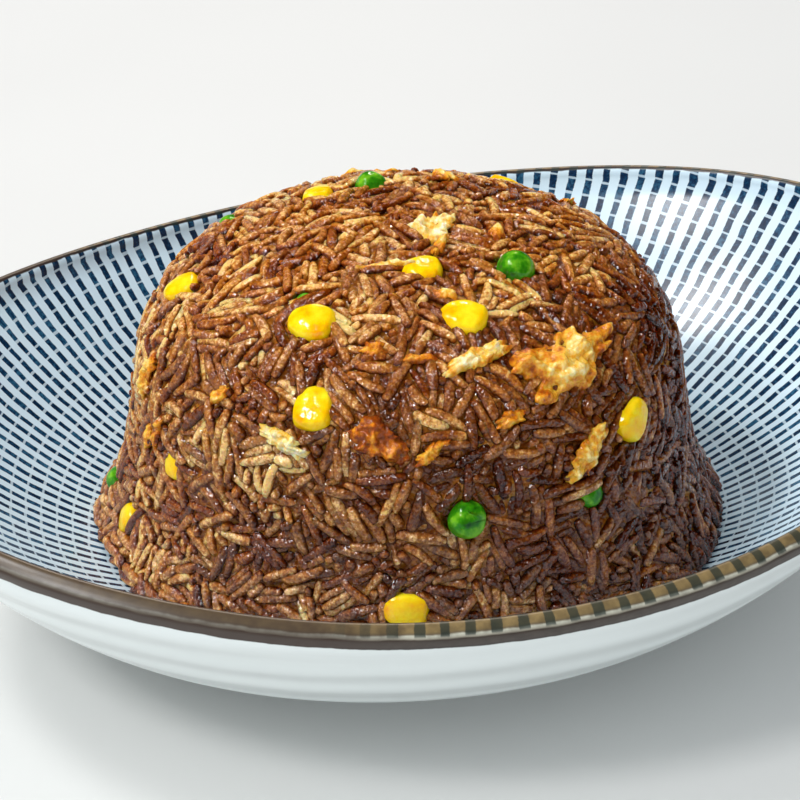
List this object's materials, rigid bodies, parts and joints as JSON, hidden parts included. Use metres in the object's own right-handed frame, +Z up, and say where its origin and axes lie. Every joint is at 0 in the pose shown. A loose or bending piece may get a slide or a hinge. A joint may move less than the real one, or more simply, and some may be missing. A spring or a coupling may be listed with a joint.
{
  "type": "fried rice plate",
  "caption": "Mound of brown fried rice with corn, peas and egg, turned out of a bowl onto a deep oval dish with blue dashed lines and a brown rim.",
  "frame": {"origin": "middle of the dish's foot, on the table", "axes": "+X along the dish's long axis, +Z up"},
  "size_m": [0.2212, 0.1746, 0.0785],
  "materials": {
    "glazed_white": "glossy white glaze with blue dashed lines inside and a brown lip",
    "soy_rice": "oily soy-browned rice grains",
    "corn_yellow": "moist, glossy",
    "pea_green": "moist, glossy",
    "egg_yellow": "soft, slightly oily"
  },
  "bodies": {
    "root": {"dish": "glazed_white", "rice": "soy_rice", "corn_1": "corn_yellow", "corn_2": "corn_yellow", "corn_3": "corn_yellow", "corn_4": "corn_yellow", "corn_5": "corn_yellow", "corn_6": "corn_yellow", "corn_7": "corn_yellow", "corn_8": "corn_yellow", "corn_9": "corn_yellow", "corn_10": "corn_yellow", "corn_11": "corn_yellow", "corn_12": "corn_yellow", "corn_13": "corn_yellow", "corn_14": "corn_yellow", "corn_15": "corn_yellow", "corn_16": "corn_yellow", "pea_1": "pea_green", "pea_2": "pea_green", "pea_3": "pea_green", "pea_4": "pea_green", "pea_5": "pea_green", "pea_6": "pea_green", "pea_7": "pea_green", "pea_8": "pea_green", "pea_9": "pea_green", "pea_10": "pea_green", "pea_11": "pea_green", "egg_1": "egg_yellow", "egg_2": "egg_yellow", "egg_3": "egg_yellow", "egg_4": "egg_yellow", "egg_5": "egg_yellow", "egg_6": "egg_yellow", "egg_7": "egg_yellow", "egg_8": "egg_yellow", "egg_9": "egg_yellow", "egg_10": "egg_yellow", "egg_11": "egg_yellow", "egg_12": "egg_yellow", "egg_13": "egg_yellow", "egg_14": "egg_yellow", "egg_15": "egg_yellow", "egg_16": "egg_yellow"}
  },
  "joints": []
}
